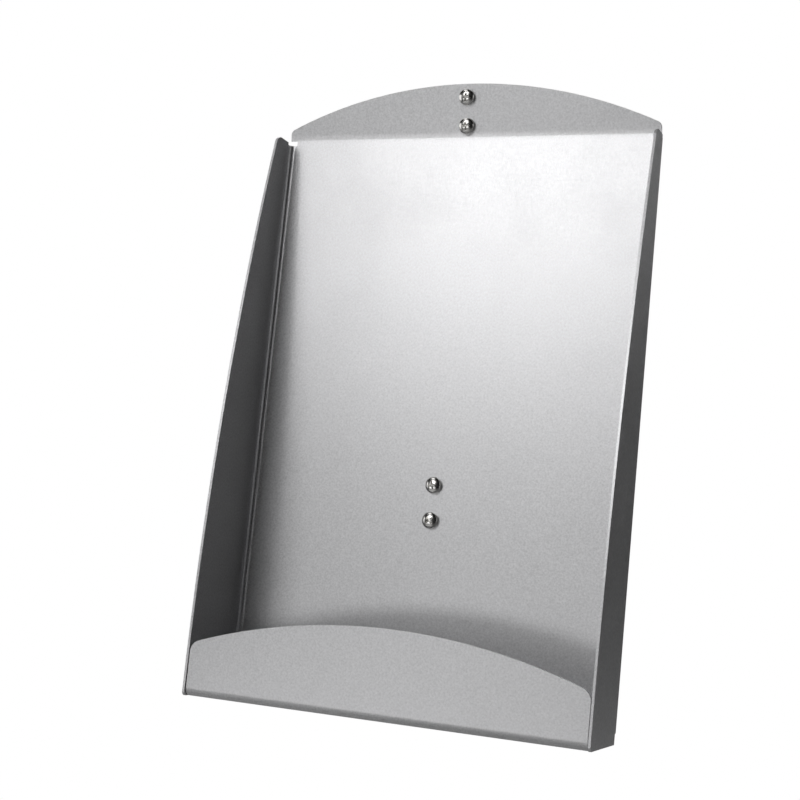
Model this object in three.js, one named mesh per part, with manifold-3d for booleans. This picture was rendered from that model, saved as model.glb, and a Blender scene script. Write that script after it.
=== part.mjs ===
// A post-mounted brochure rack: one folded sheet tray that leans back 15 degrees, a hat-shaped
// stand-off bracket behind it, and the machine screws, nuts and washers that hold them together
// and to a flat post. Millimetres, +X to the right of a person reading the brochures, +Y towards
// the post, +Z up. The origin is on the back face of the tray's header, midway between its holes.
import * as THREE from 'three';
import { mergeVertices } from 'three/addons/utils/BufferGeometryUtils.js';
import Module from 'manifold-3d';

const wasm = await Module();
wasm.setup();

// ---- driving dimensions ----

const lean = THREE.MathUtils.degToRad(15); // panel from the vertical

const tray = {
  sheet: 1.5,
  bendInside: 3.3, // inside radius of the right-angle bends
  width: 232, // over the side walls
  panelLength: 334.5, // underside of the shelf to the header's bend line, on the front face
};
const wall = {
  depthBottom: 57, // from the panel's back face to the wall's front edge, at the shelf
  depthTop: 18.5, // the same, where the edge's curve reaches the header's bend line
  topDrop: 2, // the wall stops this far below the bend line
  topCorner: 6,
  bottomCorner: 2.5,
};
const lip = {
  setBack: 0.5, // outer face behind the walls' front edges
  crown: 48.8, // height of the arch above the underside of the shelf
  end: 29.2, // height where the arch would meet the lip's side edge
  corner: 7,
  sideGap: 0.3, // between the shelf or lip and each wall
};
const header = {
  crown: 30.7, // height of the arch above the bend line
  end: 5.6,
  inset: 1.5, // each end inside the wall's outer face
  corner: 4,
  bendInside: 24,
  lift: 0.5, // the free lower edge of each end, below the bend line
};
// How far a corner notch runs past the bends that it frees
const relief = {
  reach: 1, // sideways
  height: 1, // upwards, from the shelf's bend
  drop: 0.25, // downwards, from the header's bend
};

const headerHoles = { lowest: 6.4, pitch: 16.5 }; // above the bend line
const panelHoles = { lowest: 109.7, pitch: 20 }; // above the underside of the shelf

const bracket = {
  sheet: 2,
  bendInside: 2.5,
  width: 30,
  plateEdge: 12, // from an outer hole of the front plate to the middle of the web
  tab: 24, // from the middle of a web to the end of its tab
  holeFromEnd: 9.5,
  corner: 4,
};

// Metric 5 fasteners
const screw = {
  thread: 4.9,
  head: 9.4,
  headHeight: 3.5,
  edgeHeight: 1.5, // upright rim under the dome
  underHead: 0.25, // fillet where the shank meets the head
  tip: 0.7,
  recessSpan: 5,
  recessBlade: 1.15,
  recessDepth: 2.3,
  recessFloor: 1.8, // span of the blades at the bottom of the recess
};
const postScrewLength = 16;
const panelScrewLength = 12;
const washer = { outside: 10, height: 1 };
const nut = { flats: 8, height: 4.7, chamferAngle: THREE.MathUtils.degToRad(30) };

const shankGap = 0.3; // round a shank, in a hole, washer or nut
const seatGap = 0.3; // between faces that rest on each other

const arcSteps = 8; // per right angle, on bends and corners
const archSteps = 32;
const roundSteps = 32;

// ---- solids ----

const overCut = 5; // how far a cutting tool runs past what it cuts

function toSolid(geometry) {
  geometry.deleteAttribute('normal');
  geometry.deleteAttribute('uv');
  const merged = mergeVertices(geometry, 1e-5);
  return new wasm.Manifold(new wasm.Mesh({
    numProp: 3,
    vertProperties: new Float32Array(merged.attributes.position.array),
    triVerts: new Uint32Array(merged.index.array),
  }));
}

function toGeometry(solid) {
  const mesh = solid.getMesh();
  const geometry = new THREE.BufferGeometry();
  geometry.setAttribute('position', new THREE.BufferAttribute(mesh.vertProperties, 3));
  geometry.setIndex(new THREE.BufferAttribute(mesh.triVerts, 1));
  geometry.computeVertexNormals();
  return geometry;
}

function box(lowX, highX, lowY, highY, lowZ, highZ) {
  const geometry = new THREE.BoxGeometry(highX - lowX, highY - lowY, highZ - lowZ);
  geometry.translate((lowX + highX) / 2, (lowY + highY) / 2, (lowZ + highZ) / 2);
  return toSolid(geometry);
}

// A cylinder along Y, through (x, z)
function rodAlongY(radius, lowY, highY, x, z) {
  const geometry = new THREE.CylinderGeometry(radius, radius, highY - lowY, roundSteps);
  geometry.translate(x, (lowY + highY) / 2, z);
  return toSolid(geometry);
}

// A shape drawn in (y, z) made solid over a width in x, centred on x = 0
function extrudeAlongX(outline, width) {
  const shape = new THREE.Shape(outline);
  const geometry = new THREE.ExtrudeGeometry(shape, { depth: width, bevelEnabled: false });
  geometry.applyMatrix4(new THREE.Matrix4().set(
    0, 0, 1, -width / 2,
    1, 0, 0, 0,
    0, 1, 0, 0,
    0, 0, 0, 1,
  ));
  return toSolid(geometry);
}

// A shape drawn in (x, z) made solid from lowY to highY
function extrudeAlongY(outline, lowY, highY) {
  const shape = new THREE.Shape(outline);
  const geometry = new THREE.ExtrudeGeometry(shape, { depth: highY - lowY, bevelEnabled: false });
  geometry.rotateX(Math.PI / 2);
  geometry.translate(0, highY, 0);
  return toSolid(geometry);
}

// A shape drawn in (x, y) made solid from lowZ to highZ
function extrudeAlongZ(outline, lowZ, highZ) {
  const shape = new THREE.Shape(outline);
  const geometry = new THREE.ExtrudeGeometry(shape, { depth: highZ - lowZ, bevelEnabled: false });
  geometry.translate(0, 0, lowZ);
  return toSolid(geometry);
}

// ---- outlines ----

// The corner at b between a and c, rounded to a radius: the arc's centre and its two angles
function cornerArc(a, b, c, radius) {
  const into = b.clone().sub(a).normalize();
  const out = c.clone().sub(b).normalize();
  const turn = Math.atan2(into.cross(out), into.dot(out));
  const side = Math.sign(turn);
  const start = b.clone().addScaledVector(into, -radius * Math.tan(Math.abs(turn) / 2));
  const centre = new THREE.Vector2(-into.y, into.x).multiplyScalar(side * radius).add(start);
  const from = Math.atan2(start.y - centre.y, start.x - centre.x);
  return { centre, from, turn, side };
}

function arcPoints({ centre, from, turn }, radius) {
  const steps = Math.max(1, Math.ceil(arcSteps * Math.abs(turn) / (Math.PI / 2)));
  return Array.from({ length: steps + 1 }, (_, i) => {
    const angle = from + turn * i / steps;
    return new THREE.Vector2(centre.x + radius * Math.cos(angle), centre.y + radius * Math.sin(angle));
  });
}

// A closed outline of [x, y, corner radius] points
function roundedOutline(points) {
  const corners = points.map(([x, y]) => new THREE.Vector2(x, y));
  return corners.flatMap((corner, i) => {
    const radius = points[i][2];
    if (!radius) return [corner];
    const before = corners.at(i - 1);
    const after = corners[(i + 1) % corners.length];
    return arcPoints(cornerArc(before, corner, after, radius), radius);
  });
}

// The edge view of a bent strip: its middle line's corners, as [x, y, inside radius], made thick
function bentStrip(points, thickness) {
  const middle = points.map(([x, y]) => new THREE.Vector2(x, y));
  const half = thickness / 2;
  const left = [];
  const right = [];
  middle.forEach((point, i) => {
    if (i === 0 || i === middle.length - 1) {
      const next = i === 0 ? middle[1] : point;
      const along = next.clone().sub(i === 0 ? point : middle[i - 1]).normalize();
      const across = new THREE.Vector2(-along.y, along.x).multiplyScalar(half);
      left.push(point.clone().add(across));
      right.push(point.clone().sub(across));
      return;
    }
    const inside = points[i][2];
    const arc = cornerArc(middle[i - 1], point, middle[i + 1], inside + half);
    left.push(...arcPoints(arc, inside + half - arc.side * half));
    right.push(...arcPoints(arc, inside + half + arc.side * half));
  });
  return [...left, ...right.reverse()];
}

// Points of an arch over a chord, from +half to -half, through the crown
function archPoints(half, endHeight, crownHeight) {
  const rise = crownHeight - endHeight;
  const radius = (half * half + rise * rise) / (2 * rise);
  const reach = Math.asin(half / radius);
  return Array.from({ length: archSteps + 1 }, (_, i) => {
    const angle = reach * (1 - 2 * i / archSteps);
    return [radius * Math.sin(angle), crownHeight - radius + radius * Math.cos(angle)];
  });
}

// A panel with upright ends, an arched top and rounded top corners
function archedOutline(half, foot, endHeight, crownHeight, corner) {
  const arch = archPoints(half, endHeight, crownHeight);
  arch[0].push(corner);
  arch.at(-1).push(corner);
  return roundedOutline([[-half, foot], [half, foot], ...arch]);
}

// ---- places ----

// The tray is drawn with its panel upright: x across, y = 0 on the panel's back face and minus
// towards the reader, z up from the underside of the shelf. It is then leaned back and moved.
const bendFront = new THREE.Vector3(0, -tray.sheet, tray.panelLength);
const holesMiddle = headerHoles.lowest + headerHoles.pitch / 2;

const place = new THREE.Matrix4().makeRotationX(-lean);
const bendPlace = bendFront.clone().applyMatrix4(place);
place.setPosition(0, -bendPlace.y - tray.sheet, -bendPlace.z - holesMiddle);

const headerUp = new THREE.Vector2(-Math.sin(lean), Math.cos(lean)); // in the drawn (y, z)

// ---- the tray ----

function channel() {
  const half = (tray.width - tray.sheet) / 2;
  const far = -(wall.depthBottom + overCut);
  const inside = tray.bendInside;
  const section = bentStrip([
    [-half, far],
    [-half, -tray.sheet / 2, inside],
    [half, -tray.sheet / 2, inside],
    [half, far],
  ], tray.sheet);
  return extrudeAlongZ(section, 0, tray.panelLength - wall.topDrop);
}

// The side view of a wall: its front edge is an arc that starts parallel to the panel
function wallProfile() {
  const top = tray.panelLength - wall.topDrop;
  const fall = wall.depthBottom - wall.depthTop;
  const radius = (tray.panelLength ** 2 + fall ** 2) / (2 * fall);
  const steps = archSteps / 2;
  const edge = Array.from({ length: steps + 1 }, (_, i) => {
    const z = top * i / steps;
    return [radius - wall.depthBottom - Math.sqrt(radius ** 2 - z ** 2), z];
  });
  edge[0].push(wall.bottomCorner);
  edge.at(-1).push(wall.topCorner);
  return roundedOutline([...edge, [overCut, top], [overCut, 0]]);
}

const bendOutside = tray.bendInside + tray.sheet;
const notchX = tray.width / 2 - bendOutside - relief.reach; // inner edge of a corner notch
const notchZ = bendOutside + relief.height;
const headerBendReach = (header.bendInside + tray.sheet / 2) * Math.tan(lean / 2);

// Shelf and lip in one bent strip, which starts in the panel's lower end
function shelfAndLip() {
  const face = wall.depthBottom - lip.setBack;
  const half = tray.width / 2 - tray.sheet - lip.sideGap;
  const profile = bentStrip([
    [-tray.sheet / 2, notchZ + overCut],
    [-tray.sheet / 2, tray.sheet / 2, tray.bendInside],
    [tray.sheet / 2 - face, tray.sheet / 2, tray.bendInside],
    [tray.sheet / 2 - face, lip.crown + overCut],
  ], tray.sheet);
  const strip = extrudeAlongX(profile, tray.width);
  const outline = archedOutline(half, -overCut, lip.end, lip.crown, lip.corner);
  const front = extrudeAlongY(outline, -face - overCut, overCut);
  return strip.intersect(front).subtract(bothSides(cornerNotch(2 * overCut)));
}

function bothSides(solid) {
  return solid.add(solid.mirror([1, 0, 0]));
}

// The notch that frees the shelf's bend from the wall's bend, cut higher by extra
function cornerNotch(extra = 0) {
  return box(notchX, tray.width, -notchZ, overCut, -overCut, notchZ + extra);
}

// Frees the side bends' upper ends from the header, and leaves the panel there to the header strip
function topNotch() {
  const lowest = tray.panelLength - headerBendReach - relief.drop;
  return box(-tray.width, tray.width, -bendOutside, overCut, lowest, tray.panelLength + overCut);
}

function headerStrip() {
  const corner = new THREE.Vector2(
    -tray.sheet / 2,
    tray.panelLength + tray.sheet / 2 * Math.tan(lean / 2),
  );
  const end = corner.clone().addScaledVector(headerUp, header.crown + overCut);
  const lowest = tray.panelLength - headerBendReach - 2 * overCut;
  const profile = bentStrip([
    [corner.x, lowest],
    [corner.x, corner.y, header.bendInside],
    [end.x, end.y],
  ], tray.sheet);
  const strip = extrudeAlongX(profile, tray.width).transform(place.elements);
  const half = tray.width / 2 - header.inset;
  const outline = archedOutline(half, -header.lift, header.end, header.crown, header.corner)
    .map((point) => new THREE.Vector2(point.x, point.y - holesMiddle));
  const face = extrudeAlongY(outline, -4 * overCut, overCut);
  const below = box(-notchX, notchX, -4 * overCut, overCut, -holesMiddle - 4 * overCut, -holesMiddle);
  return strip.intersect(face.add(below));
}

function drill(z) {
  const radius = screw.thread / 2 + shankGap;
  return rodAlongY(radius, -overCut, overCut, 0, z);
}

function makeTray() {
  const belowBend = box(-notchX, notchX, -bendOutside, overCut, -overCut, bendOutside);
  let folded = channel().intersect(extrudeAlongX(wallProfile(), tray.width + overCut));
  folded = folded.subtract(belowBend).subtract(bothSides(cornerNotch())).subtract(topNotch());
  folded = folded.add(shelfAndLip());
  for (const z of holeHeights(panelHoles)) folded = folded.subtract(drill(z));
  let whole = folded.transform(place.elements).add(headerStrip());
  for (const z of holeHeights(headerHoles)) whole = whole.subtract(drill(z - holesMiddle));
  return toGeometry(whole);
}

function holeHeights(holes) {
  return [holes.lowest, holes.lowest + holes.pitch];
}

// ---- the bracket ----

// The front plate's middle line lies parallel to the panel, just behind it
function plateCorner(height) {
  const point = new THREE.Vector3(0, seatGap + bracket.sheet / 2, height).applyMatrix4(place);
  return [point.y, point.z];
}

const plateHigh = plateCorner(panelHoles.lowest + panelHoles.pitch + bracket.plateEdge);
const plateLow = plateCorner(panelHoles.lowest - bracket.plateEdge);
const tabMiddle = -bracket.sheet / 2;
const tabEnds = [plateHigh[1] + bracket.tab, plateLow[1] - bracket.tab];
const tabHoles = [tabEnds[0] - bracket.holeFromEnd, tabEnds[1] + bracket.holeFromEnd];

function makeBracket() {
  const inside = bracket.bendInside;
  const profile = bentStrip([
    [tabMiddle, tabEnds[0]],
    [tabMiddle, plateHigh[1], inside],
    [...plateHigh, inside],
    [...plateLow, inside],
    [tabMiddle, plateLow[1], inside],
    [tabMiddle, tabEnds[1]],
  ], bracket.sheet);
  const half = bracket.width / 2;
  const outline = roundedOutline([
    [-half, tabEnds[1], bracket.corner],
    [half, tabEnds[1], bracket.corner],
    [half, tabEnds[0], bracket.corner],
    [-half, tabEnds[0], bracket.corner],
  ]);
  const deepest = plateLow[0] - 2 * overCut;
  let solid = extrudeAlongX(profile, bracket.width).intersect(extrudeAlongY(outline, deepest, overCut));
  for (const z of tabHoles) solid = solid.subtract(drill(z));
  for (const z of holeHeights(panelHoles)) solid = solid.subtract(drill(z).transform(place.elements));
  return toGeometry(solid);
}

// ---- fasteners ----

// Each is drawn upright on the z axis and laid down, so that it points along +Y from y = 0,
// the plane that its head, or its washer's or nut's front face, lies on.
function layDown(geometry) {
  geometry.rotateX(-Math.PI / 2);
  return geometry;
}

function turned(profile) {
  return new THREE.LatheGeometry(profile.map(([r, z]) => new THREE.Vector2(r, z)), roundSteps)
    .rotateX(Math.PI / 2);
}

// Two crossed blades, narrower towards the floor of the recess
function crossRecess() {
  const top = -screw.headHeight - overCut;
  const floor = screw.recessDepth - screw.headHeight;
  const flare = (screw.recessSpan - screw.recessFloor) / 2 / screw.recessDepth;
  const wide = screw.recessFloor / 2 + flare * (floor - top);
  const outline = [[-wide, top], [wide, top], [screw.recessFloor / 2, floor], [-screw.recessFloor / 2, floor]]
    .map(([x, z]) => new THREE.Vector2(x, z));
  const half = screw.recessBlade / 2;
  const blade = extrudeAlongY(outline, -half, half);
  return blade.add(blade.rotate([0, 0, 90]));
}

function screwGeometry(length) {
  const head = screw.head / 2;
  const shank = screw.thread / 2;
  const dome = screw.headHeight - screw.edgeHeight;
  const domeRadius = (head ** 2 + dome ** 2) / (2 * dome);
  const domeSteps = 5;
  const profile = [[0, -screw.headHeight]];
  for (let i = 1; i <= domeSteps; i += 1) {
    const angle = Math.asin(head / domeRadius) * i / domeSteps;
    const height = domeRadius - screw.headHeight - domeRadius * Math.cos(angle);
    profile.push([domeRadius * Math.sin(angle), height]);
  }
  profile.push(
    [head, 0],
    [shank + screw.underHead, 0],
    [shank, screw.underHead],
    [shank, length - screw.tip],
    [shank - screw.tip, length],
    [0, length],
  );
  return layDown(toGeometry(toSolid(turned(profile)).subtract(crossRecess())));
}

function washerGeometry() {
  const inner = screw.thread / 2 + shankGap;
  const outer = washer.outside / 2;
  return layDown(turned([[inner, 0], [outer, 0], [outer, washer.height], [inner, washer.height], [inner, 0]]));
}

function nutGeometry() {
  const across = nut.flats / 2;
  const point = across / Math.cos(Math.PI / 6);
  const hexagon = Array.from({ length: 6 }, (_, i) => {
    const angle = (i + 0.5) * Math.PI / 3;
    return new THREE.Vector2(point * Math.cos(angle), point * Math.sin(angle));
  });
  const chamfer = (point - across) * Math.tan(nut.chamferAngle);
  const limits = toSolid(turned([
    [0, 0],
    [across, 0],
    [point, chamfer],
    [point, nut.height - chamfer],
    [across, nut.height],
    [0, nut.height],
  ]));
  const bore = new THREE.CylinderGeometry(
    screw.thread / 2 + shankGap,
    screw.thread / 2 + shankGap,
    nut.height + 2 * overCut,
    roundSteps,
  ).rotateX(Math.PI / 2);
  const solid = extrudeAlongZ(hexagon, 0, nut.height).intersect(limits).subtract(toSolid(bore));
  return layDown(toGeometry(solid));
}

// ---- the assembly ----

const satin = { color: 0xb9bbbd, roughness: 0.42, metalness: 1 };
const plated = { color: 0xa9abad, roughness: 0.35, metalness: 1 };
const bright = { color: 0xd5d6d8, roughness: 0.18, metalness: 1 };

const rack = new THREE.Group();
const leaned = new THREE.Group(); // carries what is square to the panel
leaned.applyMatrix4(place);
rack.add(leaned);

function addPiece(parent, name, geometry, finish, y = 0, z = 0) {
  const mesh = new THREE.Mesh(geometry, new THREE.MeshStandardMaterial(finish));
  mesh.name = name;
  mesh.position.set(0, y, z);
  parent.add(mesh);
}

const levels = ['lower', 'upper'];

addPiece(rack, 'tray', makeTray(), satin);
addPiece(rack, 'standoff_bracket', makeBracket(), plated);

holeHeights(headerHoles).forEach((z, i) => {
  const y = -tray.sheet - seatGap;
  addPiece(rack, `header_screw_${levels[i]}`, screwGeometry(postScrewLength), bright, y, z - holesMiddle);
});

holeHeights(panelHoles).forEach((z, i) => {
  const washerY = seatGap + bracket.sheet + seatGap;
  const nutY = washerY + washer.height + seatGap;
  const screwY = -tray.sheet - seatGap;
  addPiece(leaned, `panel_screw_${levels[i]}`, screwGeometry(panelScrewLength), bright, screwY, z);
  addPiece(leaned, `panel_washer_${levels[i]}`, washerGeometry(), bright, washerY, z);
  addPiece(leaned, `panel_nut_${levels[i]}`, nutGeometry(), bright, nutY, z);
});

[...tabHoles].reverse().forEach((z, i) => {
  const washerY = -bracket.sheet - seatGap - washer.height;
  const screwY = washerY - seatGap;
  addPiece(rack, `bracket_screw_${levels[i]}`, screwGeometry(postScrewLength), bright, screwY, z);
  addPiece(rack, `bracket_washer_${levels[i]}`, washerGeometry(), bright, washerY, z);
});

export default rack;
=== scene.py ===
import math

import bmesh
import bpy
from mathutils import Matrix, Vector


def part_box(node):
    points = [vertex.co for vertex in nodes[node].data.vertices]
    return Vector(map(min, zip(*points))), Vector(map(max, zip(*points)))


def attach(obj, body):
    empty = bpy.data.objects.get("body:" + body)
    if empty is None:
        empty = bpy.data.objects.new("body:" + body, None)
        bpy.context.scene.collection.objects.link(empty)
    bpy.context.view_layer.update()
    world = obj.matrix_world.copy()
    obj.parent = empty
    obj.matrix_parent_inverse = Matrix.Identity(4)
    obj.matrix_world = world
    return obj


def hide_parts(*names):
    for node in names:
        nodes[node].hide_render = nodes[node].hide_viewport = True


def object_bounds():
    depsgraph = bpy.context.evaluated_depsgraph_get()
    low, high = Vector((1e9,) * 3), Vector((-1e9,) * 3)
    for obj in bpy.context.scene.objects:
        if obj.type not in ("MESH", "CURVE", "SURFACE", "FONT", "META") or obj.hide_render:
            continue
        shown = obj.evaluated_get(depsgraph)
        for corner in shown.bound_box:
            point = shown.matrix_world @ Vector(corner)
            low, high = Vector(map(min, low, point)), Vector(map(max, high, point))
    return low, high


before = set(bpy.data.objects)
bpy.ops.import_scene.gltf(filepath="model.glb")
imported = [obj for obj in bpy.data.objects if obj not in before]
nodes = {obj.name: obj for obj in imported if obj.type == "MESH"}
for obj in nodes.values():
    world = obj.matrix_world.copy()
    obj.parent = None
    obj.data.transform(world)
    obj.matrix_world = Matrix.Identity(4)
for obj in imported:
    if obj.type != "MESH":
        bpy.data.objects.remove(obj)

cadBox = [list(corner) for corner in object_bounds()]
mm = 0.001
lean = math.radians(15)  # the tray's panel from the vertical

# ---- camera ----

cameraSettings = {
    "target": (-0.0073, -0.0881, -0.1599),
    "azimuth": 22.15,  # degrees to the reader's right of straight ahead
    "elevation": 7.18,
    "distance": 0.7992,
    "lens": 65.98,
    "sensor": 36,
}


def directionTo(azimuth, elevation):
    # unit vector from the rack: azimuth 0 is towards the reader, 90 to the reader's right
    a = math.radians(azimuth)
    e = math.radians(elevation)
    return Vector((math.sin(a) * math.cos(e), -math.cos(a) * math.cos(e), math.sin(e)))


def placeCamera(settings):
    back = directionTo(settings["azimuth"], settings["elevation"])
    data = bpy.data.cameras.new("camera")
    data.lens = settings["lens"]
    data.sensor_width = settings["sensor"]
    data.clip_start = 0.01
    camera = bpy.data.objects.new("camera", data)
    bpy.context.collection.objects.link(camera)
    camera.location = Vector(settings["target"]) + back * settings["distance"]
    camera.rotation_mode = "QUATERNION"
    camera.rotation_quaternion = (-back).to_track_quat("-Z", "Y")
    bpy.context.scene.camera = camera


placeCamera(cameraSettings)
print("camera placed")

# ---- small helpers ----


def deselectAll():
    if bpy.context.object and bpy.context.object.mode != "OBJECT":
        bpy.ops.object.mode_set(mode="OBJECT")
    bpy.ops.object.select_all(action="DESELECT")


def makeActive(piece):
    deselectAll()
    piece.select_set(True)
    bpy.context.view_layer.objects.active = piece


def editMesh(piece, work):
    # runs work(mesh) in edit mode; work selects what its operators act on
    makeActive(piece)
    bpy.ops.object.mode_set(mode="EDIT")
    work(bmesh.from_edit_mesh(piece.data))
    bpy.ops.object.mode_set(mode="OBJECT")


def selectFaces(mesh, test):
    bpy.ops.mesh.select_all(action="DESELECT")
    for face in filter(test, mesh.faces):
        face.select_set(True)


def applyModifier(piece, kind, **values):
    modifier = piece.modifiers.new(kind.lower(), kind)
    for key, value in values.items():
        setattr(modifier, key, value)
    makeActive(piece)
    bpy.ops.object.modifier_apply(modifier=modifier.name)


def roundEdges(piece, width, segments=2, angle=35, clamp=True):
    applyModifier(
        piece, "BEVEL", width=width, segments=segments, limit_method="ANGLE",
        angle_limit=math.radians(angle), use_clamp_overlap=clamp,
    )


def cutWith(piece, tool, operation="DIFFERENCE"):
    applyModifier(piece, "BOOLEAN", object=tool, operation=operation, solver="EXACT")
    bpy.data.objects.remove(tool)


def smoothShade(piece, angle=40):
    makeActive(piece)
    bpy.ops.object.shade_smooth_by_angle(angle=math.radians(angle))
    applyModifier(piece, "WEIGHTED_NORMAL", keep_sharp=True, weight=60)


def copyOf(piece, name):
    copied = piece.copy()
    copied.data = piece.data.copy()
    copied.name = name
    copied.data.name = name
    bpy.context.collection.objects.link(copied)
    return copied


def finishPiece(piece, slot, material, *replaced):
    piece.data.materials.clear()
    piece.data.materials.append(material)
    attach(piece, "root")
    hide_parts(*replaced)


def turned(name, sides, rings):
    # a round solid from [radius, height] rings, the first one at the bottom
    (radius, low), (_, high) = rings[0], rings[1]
    bpy.ops.object.select_all(action="DESELECT")
    bpy.ops.mesh.primitive_cylinder_add(
        vertices=sides, radius=radius, depth=high - low, location=(0, 0, (low + high) / 2)
    )
    piece = bpy.context.object
    piece.name = name
    piece.data.name = name
    bpy.ops.object.transform_apply(location=True, rotation=False, scale=False)

    def build(mesh):
        top = max(face.calc_center_median().z for face in mesh.faces)
        selectFaces(mesh, lambda face: face.calc_center_median().z > top - 1e-7)
        bpy.ops.transform.resize(
            value=(rings[1][0] / radius, rings[1][0] / radius, 1), center_override=(0, 0, high)
        )
        for (r0, z0), (r1, z1) in zip(rings[1:], rings[2:]):
            bpy.ops.mesh.extrude_region_move(TRANSFORM_OT_translate={"value": (0, 0, z1 - z0)})
            bpy.ops.transform.resize(value=(r1 / r0, r1 / r0, 1), center_override=(0, 0, z1))

    editMesh(piece, build)
    return piece


def splitAlong(piece, low, high, cuts):
    # rings round the upright faces between two heights
    def split(mesh):
        bpy.ops.mesh.select_all(action="DESELECT")
        bpy.ops.mesh.select_mode(type="EDGE")
        for edge in mesh.edges:
            bottom, top = sorted(vert.co.z for vert in edge.verts)
            if top - bottom > 1e-6 and bottom > low - 1e-6 and top < high + 1e-6:
                edge.select_set(True)
        bpy.ops.mesh.subdivide(number_cuts=cuts)

    editMesh(piece, split)


# ---- fasteners: metric 5 pan head screws, nuts and washers ----

threadSettings = {
    "pitch": 0.8 * mm,
    "depth": 0.42 * mm,
    "crest": 0.18,  # shares of the pitch that are flat
    "root": 0.12,
    "fade": 0.9 * mm,  # the groove runs out over this length at each end
    "stepsPerTurn": 6,
}

screwSettings = {
    "sides": 48,
    "head": 4.7 * mm,  # radius
    "headHeight": 3.5 * mm,
    "rim": 1.5 * mm,
    "rimRound": 0.25 * mm,
    "domeRings": 9,
    "domeArc": math.radians(86),
    "shank": 2.45 * mm,
    "underHead": 0.25 * mm,
    "tip": 0.7 * mm,
    "recessSpan": 5.0 * mm,
    "recessFloor": 1.9 * mm,
    "recessBlade": 1.25 * mm,
    "recessDepth": 2.4 * mm,
    "recessTaper": 0.72,  # a blade's thickness at the floor, as a share of that above
    "postLength": 16 * mm,
    "panelLength": 12 * mm,
}

washerSettings = {
    "sides": 56,
    "outside": 5 * mm,  # radius
    "inside": 2.75 * mm,
    "height": 1 * mm,
    "round": 0.16 * mm,
}
nutSettings = {
    "sides": 48,
    "flats": 4 * mm,  # half the width across them
    "height": 4.7 * mm,
    "bore": 2.75 * mm,
    "overrun": 1 * mm,  # the bore's cutter sticks out by this at each end
    "chamferAngle": math.radians(30),
}


def grooveAt(turns, settings):
    # how deep the thread is cut, 0 at the crest and 1 at the root, for a place along the pitch
    t = abs((turns % 1) * 2 - 1)
    flatCrest, flatRoot = settings["crest"], settings["root"]
    return min(1, max(0, (t - flatCrest) / (1 - flatCrest - flatRoot)))


def cutThread(piece, radius, low, high, settings):
    # draws the wall of a rod in to a helical groove
    def draw(mesh):
        for vert in mesh.verts:
            x, y, z = vert.co
            r = math.hypot(x, y)
            if not (low - 1e-7 <= z <= high + 1e-7) or r < radius * 0.98 or r > radius * 1.02:
                continue
            turns = z / settings["pitch"] - math.atan2(y, x) / math.tau
            ease = min(1, (z - low) / settings["fade"], (high - z) / settings["fade"])
            scale = 1 - settings["depth"] / radius * grooveAt(turns, settings) * max(0, ease)
            vert.co.x = x * scale
            vert.co.y = y * scale

    editMesh(piece, draw)


def recessTool(settings):
    # two crossed blades that narrow towards the floor
    top = settings["headHeight"] + 1 * mm
    floor = settings["headHeight"] - settings["recessDepth"]
    grow = (top - floor) / settings["recessDepth"]
    spanTop = settings["recessFloor"] + (settings["recessSpan"] - settings["recessFloor"]) * grow
    blades = []
    for turn in (0, 90):
        bpy.ops.object.select_all(action="DESELECT")
        bpy.ops.mesh.primitive_cube_add(size=1, location=(0, 0, 0))
        blade = bpy.context.object

        def shape(mesh):
            bpy.ops.mesh.select_all(action="SELECT")
            bpy.ops.transform.resize(
                value=(spanTop, settings["recessBlade"], top - floor), center_override=(0, 0, 0)
            )
            bpy.ops.transform.translate(value=(0, 0, (top + floor) / 2))
            selectFaces(mesh, lambda face: face.normal.z < -0.9)
            bpy.ops.transform.resize(
                value=(settings["recessFloor"] / spanTop, settings["recessTaper"], 1),
                center_override=(0, 0, floor),
            )

        editMesh(blade, shape)
        blade.data.transform(Matrix.Rotation(math.radians(turn), 4, "Z"))
        blades.append(blade)
    cutWith(blades[0], blades[1], "UNION")
    return blades[0]


def makeScrew(name, length):
    s = screwSettings
    dome = [
        [s["head"] * math.cos(t), s["rim"] + (s["headHeight"] - s["rim"]) * math.sin(t)]
        for t in (s["domeArc"] * i / s["domeRings"] for i in range(1, s["domeRings"] + 1))
    ]
    dome[-1][1] = s["headHeight"]
    shank = s["shank"]
    rings = [
        [shank - s["tip"], -length],
        [shank, s["tip"] - length],
        [shank, -s["underHead"]],
        [shank + s["underHead"], 0],
        [s["head"] - s["rimRound"], 0],
        [s["head"], s["rimRound"]],
        [s["head"], s["rim"]],
        *dome,
    ]
    screw = turned(name, s["sides"], rings)
    threadLow, threadHigh = s["tip"] - length, -s["underHead"]
    steps = round(length / threadSettings["pitch"] * threadSettings["stepsPerTurn"])
    splitAlong(screw, threadLow, threadHigh, min(99, steps))
    cutThread(screw, shank, threadLow, threadHigh, threadSettings)
    cutWith(screw, recessTool(s))
    smoothShade(screw, 32)
    return screw


def makeWasher(name):
    s = washerSettings
    washer = turned(name, s["sides"], [[s["outside"], 0], [s["outside"], s["height"]]])
    bore = turned("bore", s["sides"], [[s["inside"], -s["height"]], [s["inside"], 2 * s["height"]]])
    cutWith(washer, bore)
    roundEdges(washer, s["round"], 3)
    smoothShade(washer)
    return washer


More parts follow.
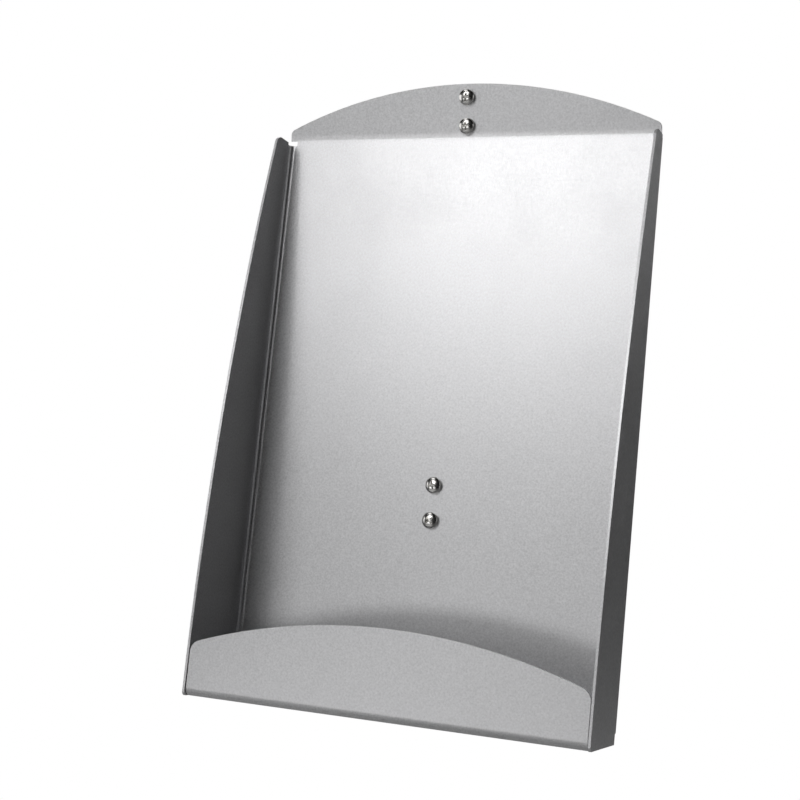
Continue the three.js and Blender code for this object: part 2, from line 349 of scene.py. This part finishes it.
def makeNut(name):
    s = nutSettings
    point = s["flats"] / math.cos(math.pi / 6)
    slope = (point - s["flats"]) * math.tan(s["chamferAngle"])
    nut = turned(name, 6, [[point, 0], [point, s["height"]]])
    nut.data.transform(Matrix.Rotation(math.pi / 6, 4, "Z"))
    limits = turned("limits", 2 * s["sides"], [
        [s["flats"], 0],
        [point, slope],
        [point, s["height"] - slope],
        [s["flats"], s["height"]],
    ])
    limits.data.transform(Matrix.Scale(1.0005, 4))  # keeps its faces off the nut's own
    cutWith(nut, limits, "INTERSECT")
    low, high = -s["overrun"], s["height"] + s["overrun"]
    bore = turned("bore", s["sides"], [[s["bore"], low], [s["bore"], high]])
    steps = round((high - low) / threadSettings["pitch"] * threadSettings["stepsPerTurn"])
    splitAlong(bore, low, high, steps)
    cutThread(bore, s["bore"], low, high, threadSettings)
    cutWith(nut, bore)
    smoothShade(nut, 32)
    return nut


def standOn(piece, node, leaned, turn=0):
    # lays an upright fastener down, head towards the reader, and brings it to its CAD node
    piece.data.transform(Matrix.Rotation(math.radians(turn), 4, "Z"))
    piece.data.transform(Matrix.Rotation(math.pi / 2, 4, "X"))
    if leaned:
        piece.data.transform(Matrix.Rotation(-lean, 4, "X"))
    low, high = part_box(node)
    corners = [vert.co for vert in piece.data.vertices]
    middle = [(min(c[i] for c in corners) + max(c[i] for c in corners)) / 2 for i in range(3)]
    piece.data.transform(Matrix.Translation((low + high) / 2 - Vector(middle)))


# ---- tray and bracket: the folded sheets ----

sheetSettings = {
    "tray": {"edgeRadius": 0.16 * mm, "segments": 3},
    "standoff_bracket": {"edgeRadius": 0.3 * mm, "segments": 3},
}


def sheetFromNode(node, settings):
    piece = bpy.data.objects.new(node + "_sheet", nodes[node].data.copy())
    bpy.context.collection.objects.link(piece)
    makeActive(piece)
    bpy.ops.mesh.customdata_custom_splitnormals_clear()

    def clean(mesh):
        bpy.ops.mesh.select_all(action="SELECT")
        bpy.ops.mesh.remove_doubles(threshold=0.002 * mm)
        bpy.ops.mesh.dissolve_limited(angle_limit=math.radians(0.3))

    editMesh(piece, clean)
    roundEdges(piece, settings["edgeRadius"], settings["segments"], clamp=False)
    smoothShade(piece)
    return piece


# ---- finishes ----


def newGroup(name, inputs, outputs):
    group = bpy.data.node_groups.new(name, "ShaderNodeTree")
    for label, value in inputs:
        socket = group.interface.new_socket(label, in_out="INPUT", socket_type="NodeSocketFloat")
        socket.default_value = value
    for label in outputs:
        group.interface.new_socket(label, in_out="OUTPUT", socket_type="NodeSocketFloat")
    return group, group.nodes.new("NodeGroupInput"), group.nodes.new("NodeGroupOutput")


def addNode(tree, kind, sockets=None, **properties):
    # sockets maps a socket's name to a value or to the output that feeds it
    node = tree.nodes.new(kind)
    for key, value in properties.items():
        setattr(node, key, value)
    for key, value in (sockets or {}).items():
        if isinstance(value, bpy.types.NodeSocket):
            tree.links.new(value, node.inputs[key])
        else:
            node.inputs[key].default_value = value
    return node


def addMath(tree, operation, first, second, clamp=False):
    node = addNode(tree, "ShaderNodeMath", {0: first, 1: second}, operation=operation, use_clamp=clamp)
    return node.outputs[0]


def addVectorMath(tree, operation, sockets):
    return addNode(tree, "ShaderNodeVectorMath", sockets, operation=operation).outputs


def around(tree, value, amount):
    # turns a 0 to 1 pattern into one that swings about zero by amount
    return addMath(tree, "MULTIPLY", addMath(tree, "SUBTRACT", value, 0.5), amount)


def buildGrain():
    # fine blasted or rolled texture and broad mottling; Stretch draws the grain out along Z
    group, given, made = newGroup(
        "metalGrain", [("Scale", 1500), ("Stretch", 1), ("Mottle Scale", 30)], ["Grain", "Mottle"]
    )
    place = addNode(group, "ShaderNodeTexCoord").outputs["Object"]
    split = addNode(group, "ShaderNodeSeparateXYZ", {0: place}).outputs
    along = addMath(group, "DIVIDE", split["Z"], given.outputs["Stretch"])
    parts = {"X": split["X"], "Y": split["Y"], "Z": along}
    drawn = addNode(group, "ShaderNodeCombineXYZ", parts).outputs[0]
    fine = addNode(group, "ShaderNodeTexNoise", {
        "Vector": drawn, "Scale": given.outputs["Scale"], "Detail": 3, "Roughness": 0.65,
    })
    broad = addNode(group, "ShaderNodeTexNoise", {
        "Vector": place, "Scale": given.outputs["Mottle Scale"], "Detail": 4, "Roughness": 0.55,
    })
    group.links.new(fine.outputs[0], made.inputs["Grain"])
    group.links.new(broad.outputs[0], made.inputs["Mottle"])
    return group


def buildEdgeWear():
    # 1 where a bend or a cut edge is lightened, partly as rubbed wear and partly as a painted edge
    # highlight, broken up by noise
    group, given, made = newGroup(
        "edgeWear", [("Radius", 0.0005), ("Gain", 5), ("Break Scale", 220)], ["Wear"]
    )
    rounded = addNode(group, "ShaderNodeBevel", {"Radius": given.outputs["Radius"]}, samples=4).outputs[0]
    facing = addNode(group, "ShaderNodeNewGeometry").outputs["Normal"]
    agree = addVectorMath(group, "DOT_PRODUCT", {0: rounded, 1: facing})["Value"]
    away = addMath(group, "SUBTRACT", 1, agree)
    strong = addMath(group, "MULTIPLY", away, given.outputs["Gain"], True)
    place = addNode(group, "ShaderNodeTexCoord").outputs["Object"]
    patches = addNode(group, "ShaderNodeTexNoise", {
        "Vector": place, "Scale": given.outputs["Break Scale"], "Detail": 3,
    }).outputs[0]
    broken = addMath(group, "MULTIPLY", strong, addMath(group, "ADD", patches, 0.3), True)
    group.links.new(broken, made.inputs["Wear"])
    return group


def buildHandling():
    # faint wiped smears, and dust that settles on what faces up
    group, given, made = newGroup("handling", [("Smear Scale", 14), ("Dust Scale", 900)], ["Smear", "Dust"])
    place = addNode(group, "ShaderNodeTexCoord").outputs["Object"]
    bent = addNode(group, "ShaderNodeTexNoise", {"Vector": place, "Scale": 9, "Detail": 2}).outputs["Color"]
    pulled = addVectorMath(group, "MULTIPLY", {0: bent, 1: (0.05, 0.05, 0.02)})[0]
    moved = addVectorMath(group, "ADD", {0: place, 1: pulled})[0]
    smears = addNode(group, "ShaderNodeTexNoise", {
        "Vector": moved, "Scale": given.outputs["Smear Scale"], "Detail": 5, "Roughness": 0.6,
    }).outputs[0]
    smear = addNode(group, "ShaderNodeMapRange", {
        "Value": smears, "From Min": 0.52, "From Max": 0.72,
    }).outputs[0]
    specks = addNode(group, "ShaderNodeTexNoise", {
        "Vector": place, "Scale": given.outputs["Dust Scale"], "Detail": 2,
    }).outputs[0]
    facing = addNode(group, "ShaderNodeNewGeometry").outputs["Normal"]
    up = addNode(group, "ShaderNodeSeparateXYZ", {0: facing}).outputs["Z"]
    level = addNode(group, "ShaderNodeMapRange", {
        "Value": up, "From Min": 0.35, "From Max": 1,
    }).outputs[0]
    dust = addMath(group, "MULTIPLY", level, addMath(group, "MULTIPLY", specks, specks), True)
    group.links.new(smear, made.inputs["Smear"])
    group.links.new(dust, made.inputs["Dust"])
    return group


effects = {"grain": buildGrain(), "edgeWear": buildEdgeWear(), "handling": buildHandling()}

dustSettings = {"color": (0.55, 0.53, 0.50, 1), "roughness": 0.4}

# the edge tone lightens bends and cut edges in the base colour, partly as rubbed wear and partly as a
# painted edge highlight
metalSettings = {
    "satinAluminium": {
        "color": (0.70, 0.70, 0.71), "roughness": 0.4,
        "grainScale": 900, "stretch": 1, "mottleScale": 28,
        "toneGrain": 0.7, "toneMottle": 0.05, "roughGrain": 0.22, "roughMottle": 0.03,
        "bump": 0.016, "edgeRadius": 0.0005, "edgeWearAndHighlightTone": 0.04, "smear": 0.02, "dust": 0.35,
    },
    "zincBracket": {
        "color": (0.60, 0.61, 0.63), "roughness": 0.36,
        "grainScale": 2200, "stretch": 14, "mottleScale": 70,
        "toneGrain": 0.14, "toneMottle": 0.16, "roughGrain": 0.16, "roughMottle": 0.14,
        "bump": 0.01, "edgeRadius": 0.0006, "edgeWearAndHighlightTone": 0.16, "smear": 0.07, "dust": 0.4,
    },
    "nickelScrew": {
        "color": (0.80, 0.79, 0.77), "roughness": 0.2,
        "grainScale": 5200, "stretch": 1, "mottleScale": 420,
        "toneGrain": 0.10, "toneMottle": 0.10, "roughGrain": 0.10, "roughMottle": 0.10,
        "bump": 0.004, "edgeRadius": 0.00025, "edgeWearAndHighlightTone": 0.14, "smear": 0.04, "dust": 0.2,
    },
    "zincWasher": {
        "color": (0.64, 0.65, 0.67), "roughness": 0.27,
        "grainScale": 3200, "stretch": 1, "mottleScale": 320,
        "toneGrain": 0.14, "toneMottle": 0.16, "roughGrain": 0.14, "roughMottle": 0.14,
        "bump": 0.006, "edgeRadius": 0.0003, "edgeWearAndHighlightTone": 0.16, "smear": 0.05, "dust": 0.3,
    },
    "zincNut": {
        "color": (0.62, 0.63, 0.64), "roughness": 0.24,
        "grainScale": 2600, "stretch": 5, "mottleScale": 260,
        "toneGrain": 0.14, "toneMottle": 0.14, "roughGrain": 0.12, "roughMottle": 0.12,
        "bump": 0.006, "edgeRadius": 0.0003, "edgeWearAndHighlightTone": 0.18, "smear": 0.05, "dust": 0.3,
    },
}


def useEffect(tree, effect, **values):
    node = tree.nodes.new("ShaderNodeGroup")
    node.node_tree = effects[effect]
    for key, value in values.items():
        node.inputs[key].default_value = value
    return node.outputs


def makeMetal(name, s):
    material = bpy.data.materials.new(name)
    material.use_nodes = True
    tree = material.node_tree
    shader = tree.nodes["Principled BSDF"]
    shader.inputs["Metallic"].default_value = 1
    grain = useEffect(tree, "grain", **{
        "Scale": s["grainScale"], "Stretch": s["stretch"], "Mottle Scale": s["mottleScale"],
    })
    wearAndHighlight = useEffect(tree, "edgeWear", Radius=s["edgeRadius"])["Wear"]
    handling = useEffect(tree, "handling")

    tone = addMath(tree, "ADD", 1, around(tree, grain["Grain"], s["toneGrain"]))
    tone = addMath(tree, "ADD", tone, around(tree, grain["Mottle"], s["toneMottle"]))
    # painted edge highlight, together with rubbed wear: bends and cut edges lightened in the base colour
    tone = addMath(tree, "ADD", tone, addMath(tree, "MULTIPLY", wearAndHighlight, s["edgeWearAndHighlightTone"]))
    shade = addVectorMath(tree, "SCALE", {0: s["color"], "Scale": tone})[0]
    dusty = addMath(tree, "MULTIPLY", handling["Dust"], s["dust"], True)
    mixed = addNode(tree, "ShaderNodeMix", data_type="RGBA")
    mixed.inputs[7].default_value = dustSettings["color"]
    tree.links.new(dusty, mixed.inputs[0])
    tree.links.new(shade, mixed.inputs[6])
    tree.links.new(mixed.outputs[2], shader.inputs["Base Color"])

    rough = addMath(tree, "ADD", s["roughness"], around(tree, grain["Grain"], s["roughGrain"]))
    rough = addMath(tree, "ADD", rough, around(tree, grain["Mottle"], s["roughMottle"]))
    rough = addMath(tree, "ADD", rough, addMath(tree, "MULTIPLY", handling["Smear"], s["smear"]))
    rough = addMath(tree, "ADD", rough, addMath(tree, "MULTIPLY", dusty, dustSettings["roughness"]), True)
    tree.links.new(rough, shader.inputs["Roughness"])

    bump = addNode(tree, "ShaderNodeBump", {
        "Height": grain["Grain"], "Strength": 1, "Distance": s["bump"] * mm,
    })
    tree.links.new(bump.outputs[0], shader.inputs["Normal"])
    return material


metals = {name: makeMetal(name, settings) for name, settings in metalSettings.items()}
print("finishes mixed")

# ---- sheets and fasteners in place ----

tray = sheetFromNode("tray", sheetSettings["tray"])
finishPiece(tray, "tray_sheet", metals["satinAluminium"], "tray")
bracket = sheetFromNode("standoff_bracket", sheetSettings["standoff_bracket"])
finishPiece(bracket, "bracket_sheet", metals["zincBracket"], "standoff_bracket")

# how far each screw and nut was left turned, in degrees
screwTurns = {
    "header_screw_upper": -8,
    "header_screw_lower": 6,
    "panel_screw_upper": 14,
    "panel_screw_lower": 43,
    "bracket_screw_upper": 27,
    "bracket_screw_lower": -20,
}
nutTurns = {"panel_nut_upper": 12, "panel_nut_lower": -17}


def makeFasteners():
    postScrew = makeScrew("postScrew", screwSettings["postLength"])
    panelScrew = makeScrew("panelScrew", screwSettings["panelLength"])
    washer = makeWasher("flatWasher")
    nut = makeNut("hexNut")
    for node in sorted(nodes):
        leaned = node.startswith("panel")
        if node in screwTurns:
            piece = copyOf(panelScrew if leaned else postScrew, node + "_fine")
            standOn(piece, node, leaned, screwTurns[node])
            finishPiece(piece, "screw_steel", metals["nickelScrew"], node)
        elif node in nutTurns:
            piece = copyOf(nut, node + "_fine")
            standOn(piece, node, leaned, nutTurns[node])
            finishPiece(piece, "nut_steel", metals["zincNut"], node)
        elif "washer" in node:
            piece = copyOf(washer, node + "_fine")
            standOn(piece, node, leaned)
            finishPiece(piece, "washer_steel", metals["zincWasher"], node)
    for template in (postScrew, panelScrew, washer, nut):
        bpy.data.objects.remove(template)


makeFasteners()
print("fasteners made")

# ---- stage ----

stageSettings = {"floorDrop": 0.65, "floorRadius": 30, "floorTone": 0.6, "fill": 0.01, "boxDistance": 1.8}

# soft boxes round the rack: direction, width and height in metres, and power in watts
softBoxes = {
    "key": {"azimuth": -17, "elevation": 34, "size": (0.8, 0.5), "power": 4.2},
    "keyTop": {"azimuth": -15, "elevation": 44, "size": (0.8, 0.4), "power": 1.3},
    "keyLeft": {"azimuth": -32, "elevation": 27, "size": (0.5, 0.6), "power": 0.9},
    "middle": {"azimuth": -15, "elevation": 10, "size": (0.6, 0.45), "power": 0.4},
    "low": {"azimuth": -18, "elevation": -2, "size": (1.3, 0.3), "power": 2.25},
    "floorFront": {"azimuth": -18, "elevation": -30, "size": (1.4, 0.9), "power": 1.1, "distance": 1.5},
    "right": {"azimuth": 97, "elevation": 10, "size": (1.2, 1.0), "power": 3.5},
    "rightBack": {"azimuth": 133, "elevation": 14, "size": (0.6, 0.8), "power": 2.2},
    "left": {"azimuth": -78, "elevation": 6, "size": (1.5, 1.1), "power": 6},
    "backLeft": {"azimuth": -140, "elevation": 25, "size": (1.2, 1.2), "power": 8},
    "backTop": {"azimuth": 180, "elevation": 60, "size": (1.4, 0.8), "power": 1.5},
    "bounce": {"azimuth": 140, "elevation": -58, "size": (1.2, 0.9), "power": 0.35, "distance": 0.95},
    "top": {"azimuth": -55, "elevation": 66, "size": (0.9, 0.7), "power": 2.5},
}


def twoLooks(tree, seen, other, outputKind):
    # what the camera sees directly, and what lights and reflections meet
    path = addNode(tree, "ShaderNodeLightPath").outputs["Is Camera Ray"]
    mix = addNode(tree, "ShaderNodeMixShader", {0: path, 1: other.outputs[0], 2: seen.outputs[0]})
    addNode(tree, outputKind, {0: mix.outputs[0]})


def makeFloor(settings):
    bpy.ops.object.select_all(action="DESELECT")
    bpy.ops.mesh.primitive_circle_add(
        vertices=64, radius=settings["floorRadius"], fill_type="NGON",
        location=(0, 0, cadBox[0][2] - settings["floorDrop"]),
    )
    floor = bpy.context.object
    floor.name = "floor"
    material = bpy.data.materials.new("paleFloor")
    material.use_nodes = True
    tree = material.node_tree
    tree.nodes.clear()
    tone = settings["floorTone"]
    seen = addNode(tree, "ShaderNodeEmission", {"Color": (1, 1, 1, 1), "Strength": 1})
    pale = addNode(tree, "ShaderNodeBsdfDiffuse", {"Color": (tone, tone, tone, 1)})
    twoLooks(tree, seen, pale, "ShaderNodeOutputMaterial")
    floor.data.materials.append(material)


def makeWorld(settings):
    world = bpy.data.worlds.new("studio")
    world.use_nodes = True
    bpy.context.scene.world = world
    tree = world.node_tree
    tree.nodes.clear()
    seen = addNode(tree, "ShaderNodeBackground", {"Color": (1, 1, 1, 1), "Strength": 1})
    fill = addNode(tree, "ShaderNodeBackground", {"Color": (1, 1, 1, 1), "Strength": settings["fill"]})
    twoLooks(tree, seen, fill, "ShaderNodeOutputWorld")


def hangSoftBox(name, s):
    data = bpy.data.lights.new(name, "AREA")
    data.shape = "RECTANGLE"
    data.size, data.size_y = s["size"]
    data.energy = s["power"]
    light = bpy.data.objects.new(name, data)
    bpy.context.collection.objects.link(light)
    towards = directionTo(s["azimuth"], s["elevation"])
    distance = s.get("distance", stageSettings["boxDistance"])
    light.location = (Vector(cadBox[0]) + Vector(cadBox[1])) / 2 + towards * distance
    light.rotation_mode = "QUATERNION"
    light.rotation_quaternion = towards.to_track_quat("Z", "Y")
    light.visible_camera = False


makeFloor(stageSettings)
makeWorld(stageSettings)
for name, box in softBoxes.items():
    hangSoftBox(name, box)
bpy.context.scene.view_settings.view_transform = "Standard"
print("stage set")
